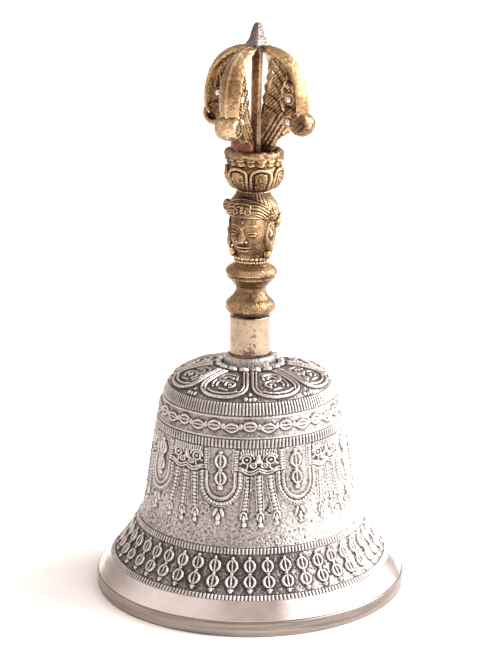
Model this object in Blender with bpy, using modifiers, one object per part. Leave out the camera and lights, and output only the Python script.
"""Tibetan hand bell: cast bell, half-vajra handle and hanging clapper, one object per piece.

Metres, +Z up. The origin is the centre of the lip's underside, and the bell's front faces -Y.
The handle casting leans a little to +X, so its pieces are children of one leaning empty.
"""

import math

import bmesh
import bpy
from mathutils import Euler, Matrix, Vector

MM = 0.001
GAP = 0.3 * MM

# Bell body
LIP_RADIUS = 46.5 * MM
LIP_TOP_RADIUS = 46.2 * MM
LIP_RIM_HEIGHT = 4.2 * MM
LIP_STEP = 0.4 * MM
REST_RING_WIDTH = 4.5 * MM
WALL = 2.6 * MM
SOUND_BOW = 4.4 * MM
SOUND_BOW_HEIGHT = 20.0 * MM
BORE_RADIUS = 1.9 * MM
COLLAR_TOP = 70.6 * MM
COLLAR_RADIUS = 7.5 * MM
COLLAR_EASE = (0.2 * MM, 0.6 * MM)
COLLAR_FLAT = COLLAR_RADIUS - 1.0 * MM
REST_RING_BEVEL = (0.9 * MM, 1.8 * MM)

# Radius and height of the crown, waist and skirt, from the collar down to the lip's bevel.
BELL_KNOTS = (
    (7.6, 68.3), (13.0, 67.5), (18.5, 66.3), (22.0, 64.7), (24.3, 62.6), (26.0, 58.9), (27.8, 52.5),
    (28.7, 45.0), (30.2, 35.4), (32.3, 25.5), (34.5, 20.0), (37.6, 14.6), (42.4, 8.9),
)
KNOT_DIVISIONS = 2

# Sleeve between bell and handle
SLEEVE_RADIUS = 6.05 * MM
SLEEVE_WALL = 1.0 * MM
SLEEVE_BOTTOM = COLLAR_TOP + GAP
SLEEVE_TOP = 82.4 * MM
SEAL_RADIUS = 7.1 * MM
SEAL_SHOULDER = 6.8 * MM
SEAL_HEIGHT = 0.9 * MM

# Handle
HANDLE_BASE = 82.8 * MM
HANDLE_LEAN = math.radians(1.6)
SOCKET_TOP = 97.0 * MM
HEAD_TURN = math.radians(-26.0)
PRONG_COUNT = 4
PRONG_TURN = math.radians(-30.0)
PRONG_NAMES = ("front_left", "front_right", "back_right", "back_left")
CUP_FLOOR = 46.2 * MM
CUP_RADIUS = 6.3 * MM
ROD_SIDE = 2.3 * MM
ROD_BEVEL = 0.2 * MM
BRAZE_START = math.radians(175.0)
BRAZE_SWEEP = math.radians(110.0)
BRAZE_STEPS = 10
BRAZE_INNER_RADIUS = 4.9 * MM
BRAZE_THICKNESS = 1.6 * MM
TIP_BASE = 78.7 * MM
TIP_HEIGHT = 6.6 * MM
TIP_SIDE = 5.2 * MM
TIP_TURN = math.radians(-93.0)
TIP_STEPS = ((0.10, 1.0), (0.34, 0.86), (0.46, 0.60), (0.66, 0.28), (1.0, 0.0))

# Radius and height above the handle's base: knob, disc, necklace, neck, lotus and cup rim.
GRIP_OUTLINE = (
    (6.3, 46.3), (6.3, 48.3), (7.0, 49.2), (8.3, 49.2), (8.9, 48.5), (8.9, 47.4), (7.9, 46.2), (7.9, 45.6),
    (8.25, 44.0), (8.25, 42.0), (7.8, 40.2), (6.7, 38.0), (5.4, 36.8), (5.2, 35.0), (5.2, 20.0), (6.5, 18.5),
    (6.3, 17.6), (5.4, 17.0), (5.3, 16.2), (5.7, 15.2), (6.6, 14.2), (7.8, 13.0), (8.1, 11.7), (7.4, 10.4),
    (6.9, 9.2), (5.6, 8.2), (5.0, 7.0), (5.9, 5.8), (6.9, 4.7), (7.5, 3.4), (7.45, 1.6), (7.0, 0.5),
    (6.0, 0.0),
)
# The head's solids in its own frame, facing -Y: a skull, a cap of hair, two ears and two ornaments.
SKULL_RADII = (6.7 * MM, 7.0 * MM, 8.6 * MM)
SKULL_HEIGHT = 27.2 * MM
HAIR_OUTLINE = ((0.0, 35.8), (5.2, 35.8), (6.6, 33.2), (7.4, 30.6), (7.2, 28.6), (0.0, 28.6))
EAR_RADII = (1.2 * MM, 1.9 * MM, 5.2 * MM)
EAR_PLACE = (7.0 * MM, 0.6 * MM, 24.5 * MM)
ORNAMENT_RADII = (1.9 * MM, 2.4 * MM, 2.7 * MM)
ORNAMENT_PLACE = (7.7 * MM, 0.2 * MM, 30.4 * MM)

# Outer prong in its own radial plane: radius, height above the handle's base, half-width of the blade.
BLADE_POINTS = (
    (2.9, 77.2, 1.0), (6.5, 76.4, 1.7), (10.2, 74.6, 2.2), (12.8, 71.6, 2.5), (14.3, 68.0, 2.7),
    (14.9, 64.4, 2.6), (14.9, 61.0, 2.3), (14.9, 58.0, 2.0),
)
CREST_OUTLINE = (
    (13.6, 70.0), (9.6, 68.8), (10.0, 66.4), (7.4, 64.2), (7.8, 61.8), (5.4, 59.4), (6.0, 56.2), (3.4, 52.0),
    (2.5, 46.6), (4.5, 46.6), (5.4, 51.4), (8.6, 54.0), (14.2, 55.2), (14.6, 60.0),
)
CREST_THICKNESS = 2.2 * MM
CURL_RADIUS = 3.3 * MM
CURL_CENTRE = (14.9, 57.6)

# Clapper and its suspension
SHANK_RADIUS = 1.5 * MM
SHANK_TOP = 96.5 * MM
WIRE_RADIUS = 0.75 * MM
EYE_RADIUS = 2.7 * MM
EYE_CENTRE = 56.8 * MM
LINK_RADIUS = 2.9 * MM
WASHER_RADIUS = 5.0 * MM
WASHER_THICKNESS = 1.0 * MM
NUT_FLATS = 6.0 * MM
NUT_THICKNESS = 2.4 * MM
CLAPPER_ROD_RADIUS = 1.2 * MM
BALL_RADIUS = 6.2 * MM
BALL_CENTRE = 10.5 * MM
BALL_BORE = CLAPPER_ROD_RADIUS + GAP
BALL_DIVISIONS = 12
SHOULDER_RADIUS = 2.2 * MM
# Radius and distance above the ball of the shoulder, and below it of the peened end.
SHOULDER_OUTLINE = ((CLAPPER_ROD_RADIUS, 1.4 * MM), (SHOULDER_RADIUS, 1.0 * MM), (SHOULDER_RADIUS, 0.0))
PEENED_END_OUTLINE = (
    (SHOULDER_RADIUS, 0.0), (2.0 * MM, 1.0 * MM), (0.9 * MM, 1.6 * MM), (0.0, 1.7 * MM),
)

# A ring hangs on the wire below it with this far between the two wires' centres.
HANG = 2 * WIRE_RADIUS + GAP
LINK_PIVOT = EYE_CENTRE - EYE_RADIUS
CLAPPER_PIVOT = LINK_PIVOT + HANG - 2 * LINK_RADIUS
CROWN_UNDERSIDE = BELL_KNOTS[0][1] * MM - WALL

# How far a boring cutter runs past the face it opens.
CUT_PAST = 1.0 * MM

MERGE = 0.00001
BELL_STEPS = 64
HANDLE_STEPS = 32
SMALL_STEPS = 24
SHANK_SIDES = 16
WIRE_SIDES = 10


def new_collection(name):
    collection = bpy.data.collections.new(name)
    bpy.context.scene.collection.children.link(collection)
    return collection


def material(name, colour, roughness, metallic):
    """A Principled material, which also shows its colour in the viewport."""
    result = bpy.data.materials.new(name)
    result.use_nodes = True
    shader = result.node_tree.nodes["Principled BSDF"]
    shader.inputs["Base Color"].default_value = (*colour, 1.0)
    shader.inputs["Roughness"].default_value = roughness
    shader.inputs["Metallic"].default_value = metallic
    result.diffuse_color = (*colour, 1.0)
    return result


def mesh_object(name, mesh, look, collection=None, parent=None):
    """Link a mesh as a new object, with its material and its parent empty."""
    obj = bpy.data.objects.new(name, mesh)
    (collection or PARTS).objects.link(obj)
    if look:
        mesh.materials.append(look)
    obj.parent = parent
    return obj


def from_bmesh(name, bm, look, collection=None, parent=None):
    mesh = bpy.data.meshes.new(name)
    bm.to_mesh(mesh)
    bm.free()
    mesh.shade_smooth()
    mesh.set_sharp_from_angle(angle=math.radians(40))
    return mesh_object(name, mesh, look, collection, parent)


def as_cutter(obj):
    """Mark an object as a guide that other objects are cut or joined with."""
    obj.hide_render = True
    obj.display_type = "WIRE"
    return obj


def boolean(obj, other, operation):
    modifier = obj.modifiers.new(operation.lower(), "BOOLEAN")
    modifier.operation = operation
    modifier.solver = "EXACT"
    modifier.object = other


def turned(name, points, look, steps, closed=False, collection=None, parent=None, smooth=True):
    """Turn an outline of (radius, height) points, listed down its outer side, about Z."""
    bm = bmesh.new()
    verts = [bm.verts.new((radius, 0.0, height)) for radius, height in points]
    for first, second in zip(verts, verts[1:]):
        bm.edges.new((first, second))
    if closed:
        bm.edges.new((verts[-1], verts[0]))
    mesh = bpy.data.meshes.new(name)
    bm.to_mesh(mesh)
    bm.free()
    obj = mesh_object(name, mesh, look, collection, parent)
    screw = obj.modifiers.new("turn", "SCREW")
    screw.axis = "Z"
    screw.steps = steps
    screw.render_steps = steps
    screw.use_smooth_shade = smooth
    screw.use_merge_vertices = True
    screw.merge_threshold = MERGE
    return obj


def tube(name, inner, outer, bottom, top, look, steps):
    outline = ((inner, top), (outer, top), (outer, bottom), (inner, bottom))
    return turned(name, outline, look, steps, closed=True)


def cylinder(name, radius, bottom, top, look, sides, collection=None):
    bm = bmesh.new()
    place = Matrix.Translation((0.0, 0.0, 0.5 * (bottom + top)))
    sizes = {"radius1": radius, "radius2": radius, "depth": top - bottom}
    bmesh.ops.create_cone(bm, cap_ends=True, segments=sides, matrix=place, **sizes)
    return from_bmesh(name, bm, look, collection)


def ring(name, major, centre_height, plane, pivot_height):
    """A wire ring in the XZ or YZ plane, with its origin on its pivot's height."""
    turn = (math.radians(90), 0.0, 0.0) if plane == "XZ" else (0.0, math.radians(90), 0.0)
    sizes = {"major_radius": major, "minor_radius": WIRE_RADIUS}
    segments = {"major_segments": SMALL_STEPS, "minor_segments": WIRE_SIDES}
    bpy.ops.mesh.primitive_torus_add(**sizes, **segments)
    made = bpy.context.object
    mesh = made.data
    bpy.data.objects.remove(made)
    lift = Matrix.Translation((0.0, 0.0, centre_height - pivot_height))
    mesh.transform(lift @ Euler(turn).to_matrix().to_4x4())
    mesh.shade_smooth()
    obj = mesh_object(name, mesh, IRON)
    obj.location.z = pivot_height
    return obj


def ellipsoid(name, radii, centre, collection, segments=20, rings=12, parent=None):
    bm = bmesh.new()
    bmesh.ops.create_uvsphere(bm, u_segments=segments, v_segments=rings, radius=1.0)
    place = Matrix.Translation(centre) @ Matrix.Diagonal((*radii, 1.0))
    bmesh.ops.transform(bm, matrix=place, verts=bm.verts)
    return as_cutter(from_bmesh(name, bm, None, collection, parent))


def smooth_knots(knots, divisions):
    """A Catmull-Rom curve through knots, with each span cut into equal steps."""
    points = []
    for i in range(len(knots) - 1):
        before = Vector(knots[max(i - 1, 0)])
        start = Vector(knots[i])
        end = Vector(knots[i + 1])
        after = Vector(knots[min(i + 2, len(knots) - 1)])
        for step in range(divisions):
            t = step / divisions
            bend = 2 * before - 5 * start + 4 * end - after
            twist = 3 * start - before - 3 * end + after
            points.append(0.5 * (2 * start + (end - before) * t + bend * t * t + twist * t ** 3))
    points.append(Vector(knots[-1]))
    return points


def wall_thickness(height):
    """The wall grows towards the lip into the thick sound bow that the clapper strikes."""
    blend = min(max(1.0 - height / SOUND_BOW_HEIGHT, 0.0), 1.0)
    return WALL + (SOUND_BOW - WALL) * blend * blend * (3.0 - 2.0 * blend)


def inner_wall(outer):
    """Offset the outer curve inwards along its normal."""
    inner = []
    for i, point in enumerate(outer):
        along = outer[min(i + 1, len(outer) - 1)] - outer[max(i - 1, 0)]
        normal = Vector((-along.y, along.x)).normalized()
        inner.append(point - normal * wall_thickness(point.y))
    return inner


def make_bell_body():
    """One casting: collar boss, crown, waist, skirt and lip around a bored crown."""
    outer = [point * MM for point in smooth_knots(BELL_KNOTS, KNOT_DIVISIONS)]
    inner = inner_wall([Vector(knot) * MM for knot in BELL_KNOTS])
    bevel_foot = LIP_RIM_HEIGHT + LIP_STEP
    rest_inner = LIP_RADIUS - REST_RING_WIDTH
    outline = [(BORE_RADIUS, COLLAR_TOP), (COLLAR_FLAT, COLLAR_TOP)]
    outline += [(COLLAR_RADIUS - COLLAR_EASE[0], COLLAR_TOP - COLLAR_EASE[1])]
    outline += [tuple(point) for point in outer]
    outline += [(LIP_TOP_RADIUS - LIP_STEP, bevel_foot), (LIP_TOP_RADIUS, LIP_RIM_HEIGHT), (LIP_RADIUS, 0.0)]
    outline += [(rest_inner, 0.0), (rest_inner - REST_RING_BEVEL[0], REST_RING_BEVEL[1])]
    outline += [tuple(point) for point in reversed(inner)]
    outline += [(BORE_RADIUS, inner[0].y)]
    turned("bell_body", outline, BELL_METAL, BELL_STEPS, closed=True)


def make_sleeve():
    inner = SLEEVE_RADIUS - SLEEVE_WALL
    tube("handle_sleeve", inner, SLEEVE_RADIUS, SLEEVE_BOTTOM, SLEEVE_TOP, POLISHED_BRASS, HANDLE_STEPS)
    packing_bottom = SLEEVE_BOTTOM + GAP
    packing_top = SLEEVE_TOP - GAP
    tube("sleeve_packing", BORE_RADIUS, inner - GAP, packing_bottom, packing_top, LAC, SMALL_STEPS)
    low = COLLAR_TOP + GAP
    inside = SLEEVE_RADIUS + GAP
    slope = ((inside, low + SEAL_HEIGHT), (SEAL_SHOULDER, low + 0.5 * SEAL_HEIGHT))
    foot = ((SEAL_RADIUS, low), (inside, low))
    turned("lac_seal", slope + foot, LAC, HANDLE_STEPS, closed=True)


def make_grip(lean):
    """One casting: knob, disc, necklace, crowned head and lotus cup, bored for the shank."""
    outline = [(0.0, CUP_FLOOR)]
    outline += [(radius * MM, height * MM) for radius, height in GRIP_OUTLINE]
    outline += [(0.0, 0.0)]
    grip = turned("handle_grip", outline, CAST_BRASS, HANDLE_STEPS, parent=lean)
    turn = bpy.data.objects.new("head_turn", None)
    PARTS.objects.link(turn)
    turn.parent = lean
    turn.rotation_euler.z = HEAD_TURN
    skull = ellipsoid("head_skull", SKULL_RADII, (0.0, 0.0, SKULL_HEIGHT), CUTTERS, 28, 18, turn)
    boolean(grip, skull, "UNION")
    hair_outline = [(radius * MM, height * MM) for radius, height in HAIR_OUTLINE]
    hair = as_cutter(turned("head_hair", hair_outline, None, 28, collection=CUTTERS, parent=turn))
    boolean(grip, hair, "UNION")
    sides = (("ear", EAR_RADII, EAR_PLACE), ("ornament", ORNAMENT_RADII, ORNAMENT_PLACE))
    for label, side in (("left", -1), ("right", 1)):
        for kind, radii, (across, back, height) in sides:
            place = (side * across, back, height)
            part = ellipsoid("head_" + kind + "_" + label, radii, place, CUTTERS, 12, 8, turn)
            boolean(grip, part, "UNION")
    socket_ends = (HANDLE_BASE - CUT_PAST, SOCKET_TOP)
    socket = cylinder("shank_socket", BORE_RADIUS, *socket_ends, None, SHANK_SIDES, CUTTERS)
    boolean(grip, as_cutter(socket), "DIFFERENCE")


def make_central_prong(lean):
    """The square rod that stands in the cup, its faces turned towards the outer prongs."""
    bm = bmesh.new()
    bottom = CUP_FLOOR + GAP
    top = TIP_BASE - GAP
    bmesh.ops.create_cube(bm, size=1.0)
    size = Matrix.Diagonal((ROD_SIDE, ROD_SIDE, top - bottom, 1.0))
    place = Matrix.Translation((0.0, 0.0, 0.5 * (top + bottom))) @ Matrix.Rotation(PRONG_TURN, 4, "Z")
    bmesh.ops.transform(bm, matrix=place @ size, verts=bm.verts)
    rod = from_bmesh("central_prong", bm, CAST_BRASS, parent=lean)
    bevel = rod.modifiers.new("edges", "BEVEL")
    bevel.width = ROD_BEVEL
    bevel.segments = 1


def mesh_from_curve(name, curve, collection, parent=None):
    """Turn a filled or bevelled curve into a welded mesh object."""
    temporary = bpy.data.objects.new(name + "_curve", curve)
    bpy.context.scene.collection.objects.link(temporary)
    evaluated = temporary.evaluated_get(bpy.context.evaluated_depsgraph_get())
    mesh = bpy.data.meshes.new_from_object(evaluated)
    bpy.data.objects.remove(temporary)
    bm = bmesh.new()
    bm.from_mesh(mesh)
    bmesh.ops.remove_doubles(bm, verts=bm.verts, dist=MERGE)
    bmesh.ops.recalc_face_normals(bm, faces=bm.faces)
    return from_bmesh(name, bm, None, collection, parent)


def blade_curve(name):
    """The swept blade: a four-sided section whose ridge faces outwards."""
    curve = bpy.data.curves.new(name, "CURVE")
    curve.dimensions = "3D"
    curve.bevel_depth = MM
    curve.bevel_resolution = 0
    curve.use_fill_caps = True
    spline = curve.splines.new("POLY")
    spline.points.add(len(BLADE_POINTS) - 1)
    for point, (radius, height, half_width) in zip(spline.points, BLADE_POINTS):
        point.co = (radius * MM, 0.0, height * MM, 1.0)
        point.radius = half_width
    return curve


def crest_curve(name):
    """The makara's stepped crest, jaw and stem as a flat plate."""
    curve = bpy.data.curves.new(name, "CURVE")
    curve.dimensions = "2D"
    curve.fill_mode = "BOTH"
    curve.extrude = 0.5 * CREST_THICKNESS
    spline = curve.splines.new("POLY")
    spline.points.add(len(CREST_OUTLINE) - 1)
    for point, (radius, height) in zip(spline.points, CREST_OUTLINE):
        point.co = (radius * MM, height * MM, 0.0, 1.0)
    spline.use_cyclic_u = True
    return curve


def make_outer_prongs(lean):
    """Four cast blades, each one the blade, its crest plate and its curled trunk."""
    blade = as_cutter(mesh_from_curve("prong_blade", blade_curve("blade"), CUTTERS))
    crest = as_cutter(mesh_from_curve("prong_crest", crest_curve("crest"), CUTTERS))
    crest.data.transform(Matrix.Rotation(math.radians(90), 4, "X"))
    curl_place = (CURL_CENTRE[0] * MM, 0.0, CURL_CENTRE[1] * MM)
    curl = ellipsoid("prong_curl", (CURL_RADIUS,) * 3, curl_place, CUTTERS, 16, 10)
    for i in range(PRONG_COUNT):
        prong = mesh_object("outer_prong_" + PRONG_NAMES[i], blade.data.copy(), CAST_BRASS, parent=lean)
        turn = PRONG_TURN - math.radians(90) + i * 2.0 * math.pi / PRONG_COUNT
        prong.rotation_euler.z = turn
        for other in (crest, curl):
            copy = as_cutter(mesh_object(other.name + "_" + PRONG_NAMES[i], other.data, None, CUTTERS, lean))
            copy.rotation_euler.z = turn
            boolean(prong, copy, "UNION")
    for guide in (blade, crest, curl):
        bpy.data.objects.remove(guide)


def make_tip(lean):
    """The four-sided finial, its sides slightly hollow, turned in four steps."""
    corner = 0.5 * math.sqrt(2.0) * TIP_SIDE
    outline = [(0.0, TIP_BASE + TIP_HEIGHT)]
    outline += [(reach * corner, TIP_BASE + part * TIP_HEIGHT) for reach, part in TIP_STEPS]
    outline += [(0.0, TIP_BASE)]
    tip = turned("vajra_tip", outline, NICKEL_SILVER, 4, parent=lean, smooth=False)
    tip.rotation_euler.z = TIP_TURN


def make_braze_pool(lean):
    """A crescent of braze in the cup, between the rim and the prongs' stems."""
    arcs = [(CUP_RADIUS - GAP, i) for i in range(BRAZE_STEPS + 1)]
    arcs += [(BRAZE_INNER_RADIUS, BRAZE_STEPS - i) for i in range(BRAZE_STEPS + 1)]
    curve = bpy.data.curves.new("braze", "CURVE")
    curve.dimensions = "2D"
    curve.fill_mode = "BOTH"
    curve.extrude = 0.5 * BRAZE_THICKNESS
    spline = curve.splines.new("POLY")
    spline.points.add(len(arcs) - 1)
    for point, (radius, i) in zip(spline.points, arcs):
        angle = BRAZE_START + BRAZE_SWEEP * i / BRAZE_STEPS
        point.co = (radius * math.cos(angle), radius * math.sin(angle), 0.0, 1.0)
    spline.use_cyclic_u = True
    pool = mesh_from_curve("braze_pool", curve, PARTS, lean)
    pool.data.materials.append(COPPER_BRAZE)
    pool.location.z = CUP_FLOOR + GAP + 0.5 * BRAZE_THICKNESS


def make_suspension():
    """Eye bolt through crown and sleeve into the handle, its washer, nut and link ring."""
    bolt = ring("eye_bolt", EYE_RADIUS, EYE_CENTRE, "XZ", LINK_PIVOT)
    shank_bottom = EYE_CENTRE + EYE_RADIUS
    shank = cylinder("eye_bolt_shank", SHANK_RADIUS, shank_bottom, SHANK_TOP, None, SHANK_SIDES, CUTTERS)
    boolean(bolt, as_cutter(shank), "UNION")
    washer_top = CROWN_UNDERSIDE - GAP
    washer_bottom = washer_top - WASHER_THICKNESS
    tube("clamp_washer", SHANK_RADIUS + GAP, WASHER_RADIUS, washer_bottom, washer_top, IRON, SMALL_STEPS)
    nut_top = washer_bottom - GAP
    nut_bottom = nut_top - NUT_THICKNESS
    corner = 0.5 * NUT_FLATS / math.cos(math.radians(30))
    nut = cylinder("clamp_nut", corner, nut_bottom, nut_top, IRON, 6)
    bore_ends = (nut_bottom - CUT_PAST, nut_top + CUT_PAST)
    bore = cylinder("nut_bore", SHANK_RADIUS + GAP, *bore_ends, None, SHANK_SIDES, CUTTERS)
    boolean(nut, as_cutter(bore), "DIFFERENCE")
    ring("link_ring", LINK_RADIUS, LINK_PIVOT + HANG - LINK_RADIUS, "YZ", LINK_PIVOT)


def make_clapper():
    """Forged rod with an eye, a shoulder and a peened end that keep the ball between them."""
    eye_centre = CLAPPER_PIVOT + HANG - EYE_RADIUS
    rod = ring("clapper_rod", EYE_RADIUS, eye_centre, "XZ", CLAPPER_PIVOT)
    top = eye_centre - EYE_RADIUS
    ball_top = BALL_CENTRE + BALL_RADIUS + GAP
    ball_foot = BALL_CENTRE - BALL_RADIUS - GAP
    outline = [(0.0, top), (CLAPPER_ROD_RADIUS, top)]
    outline += [(radius, ball_top + rise) for radius, rise in SHOULDER_OUTLINE]
    outline += [(CLAPPER_ROD_RADIUS, ball_top), (CLAPPER_ROD_RADIUS, ball_foot)]
    outline += [(radius, ball_foot - fall) for radius, fall in PEENED_END_OUTLINE]
    stem = as_cutter(turned("clapper_stem", outline, None, SHANK_SIDES, collection=CUTTERS))
    boolean(rod, stem, "UNION")
    start = math.asin(BALL_BORE / BALL_RADIUS)
    sweep = math.pi - 2.0 * start
    ball_outline = []
    for i in range(BALL_DIVISIONS + 1):
        angle = start + sweep * i / BALL_DIVISIONS
        height = BALL_CENTRE - CLAPPER_PIVOT + BALL_RADIUS * math.cos(angle)
        ball_outline.append((BALL_RADIUS * math.sin(angle), height))
    ball = turned("clapper_ball", ball_outline, IRON, SMALL_STEPS, closed=True)
    ball.location.z = CLAPPER_PIVOT


for old in list(bpy.data.objects):
    bpy.data.objects.remove(old)

PARTS = new_collection("tibetan_bell")
CUTTERS = new_collection("cutters")

BELL_METAL = material("bell_metal", (0.55, 0.52, 0.50), 0.38, 1.0)
POLISHED_BRASS = material("polished_brass", (0.85, 0.70, 0.46), 0.25, 1.0)
CAST_BRASS = material("cast_brass", (0.55, 0.40, 0.20), 0.5, 1.0)
NICKEL_SILVER = material("nickel_silver", (0.52, 0.48, 0.46), 0.35, 1.0)
COPPER_BRAZE = material("copper_braze", (0.38, 0.16, 0.10), 0.6, 0.8)
IRON = material("forged_iron", (0.22, 0.20, 0.19), 0.55, 1.0)
LAC = material("lac", (0.16, 0.08, 0.04), 0.7, 0.0)

LEAN = bpy.data.objects.new("handle_lean", None)
PARTS.objects.link(LEAN)
LEAN.location.z = HANDLE_BASE
LEAN.rotation_euler.y = HANDLE_LEAN

make_bell_body()
make_sleeve()
make_grip(LEAN)
make_central_prong(LEAN)
make_outer_prongs(LEAN)
make_tip(LEAN)
make_braze_pool(LEAN)
make_suspension()
make_clapper()
